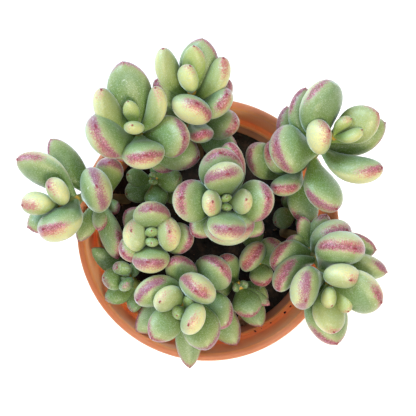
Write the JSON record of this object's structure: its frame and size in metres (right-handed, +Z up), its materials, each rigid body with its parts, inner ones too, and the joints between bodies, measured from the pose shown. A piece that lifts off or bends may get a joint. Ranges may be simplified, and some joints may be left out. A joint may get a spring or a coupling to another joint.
{
  "type": "potted cotyledon",
  "caption": "Branching succulent with plump paddle leaves in crossed pairs, standing in the potting mix of a flared, rimmed pot with drainage holes.",
  "frame": {"origin": "The middle of the pot's flat underside.", "axes": "+Z is up, away from the surface the pot stands on. +Y is the side of the plant that is at the top of the picture, and +X the side at its right."},
  "size_m": [0.1878, 0.1672, 0.1787],
  "materials": {
    "terracotta_plastic": "satin",
    "potting_mix": "matte",
    "leaf_tissue": "satin"
  },
  "bodies": {
    "root": {"pot": "terracotta_plastic", "potting_mix": "potting_mix", "stem_centre": "leaf_tissue", "stem_top": "leaf_tissue", "stem_upper_left": "leaf_tissue", "stem_left": "leaf_tissue", "stem_right_upper": "leaf_tissue", "stem_right_lower": "leaf_tissue", "stem_lower_mid": "leaf_tissue", "stem_lower_left": "leaf_tissue", "stem_bottom": "leaf_tissue", "stem_deep": "leaf_tissue", "stem_inner_right": "leaf_tissue", "stem_lower_right": "leaf_tissue", "stem_mid_right": "leaf_tissue"}
  },
  "joints": []
}
